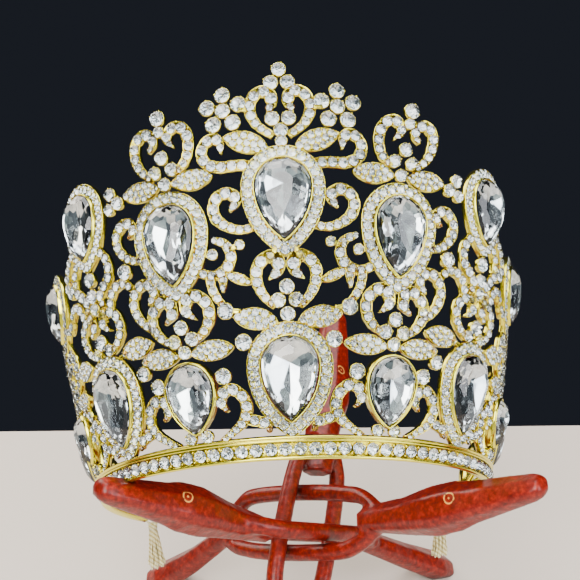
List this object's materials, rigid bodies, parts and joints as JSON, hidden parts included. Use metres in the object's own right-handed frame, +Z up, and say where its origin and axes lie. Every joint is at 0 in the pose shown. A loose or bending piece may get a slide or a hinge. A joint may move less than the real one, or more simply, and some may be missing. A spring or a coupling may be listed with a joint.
{
  "type": "tiara on wooden stand",
  "caption": "Tall flared tiara of stone-set scrollwork and pear crystals on a narrow band, leaning back on a stand of three interlocked carved wooden limbs.",
  "frame": {"origin": "on the floor, below the middle of the bounding box", "axes": "+Z up, -Y towards the front of the tiara, +X to the viewer's right"},
  "size_m": [0.2052, 0.1982, 0.2706],
  "materials": {
    "gold": "polished yellow gold plate",
    "crystal": "clear cut glass with a silver foil back",
    "thread": "pale gold thread",
    "lacquered_wood": "red-brown lacquer over carved wood"
  },
  "bodies": {
    "root": {"frame": "gold", "pear_centre_upper": "crystal", "pear_centre_lower": "crystal", "round_centre_heart": "crystal", "round_centre_top": "crystal", "round_centre_shoulder_near": "crystal", "round_centre_shoulder_far": "crystal", "round_link_upper_near": "crystal", "round_link_upper_far": "crystal", "round_link_lower_near": "crystal", "round_link_lower_far": "crystal", "pear_second_upper_left": "crystal", "pear_second_lower_left": "crystal", "round_second_heart_left": "crystal", "round_second_crown_left": "crystal", "round_second_top_left": "crystal", "round_second_foot_left_near": "crystal", "round_second_foot_left_far": "crystal", "round_second_outer_left": "crystal", "round_second_sprig_left": "crystal", "pear_third_upper_left": "crystal", "pear_third_lower_left": "crystal", "round_third_heart_left": "crystal", "pear_fourth_upper_left": "crystal", "pear_fourth_lower_left": "crystal", "pear_fifth_lower_left": "crystal", "pear_second_upper_right": "crystal", "pear_second_lower_right": "crystal", "round_second_heart_right": "crystal", "round_second_crown_right": "crystal", "round_second_top_right": "crystal", "round_second_foot_right_near": "crystal", "round_second_foot_right_far": "crystal", "round_second_outer_right": "crystal", "round_second_sprig_right": "crystal", "pear_third_upper_right": "crystal", "pear_third_lower_right": "crystal", "round_third_heart_right": "crystal", "pear_fourth_upper_right": "crystal", "pear_fourth_lower_right": "crystal", "pear_fifth_lower_right": "crystal", "tassel_left": "thread", "tassel_right": "thread", "stand_limb_left": "lacquered_wood", "stand_limb_right": "lacquered_wood", "stand_limb_back": "lacquered_wood"}
  },
  "joints": []
}
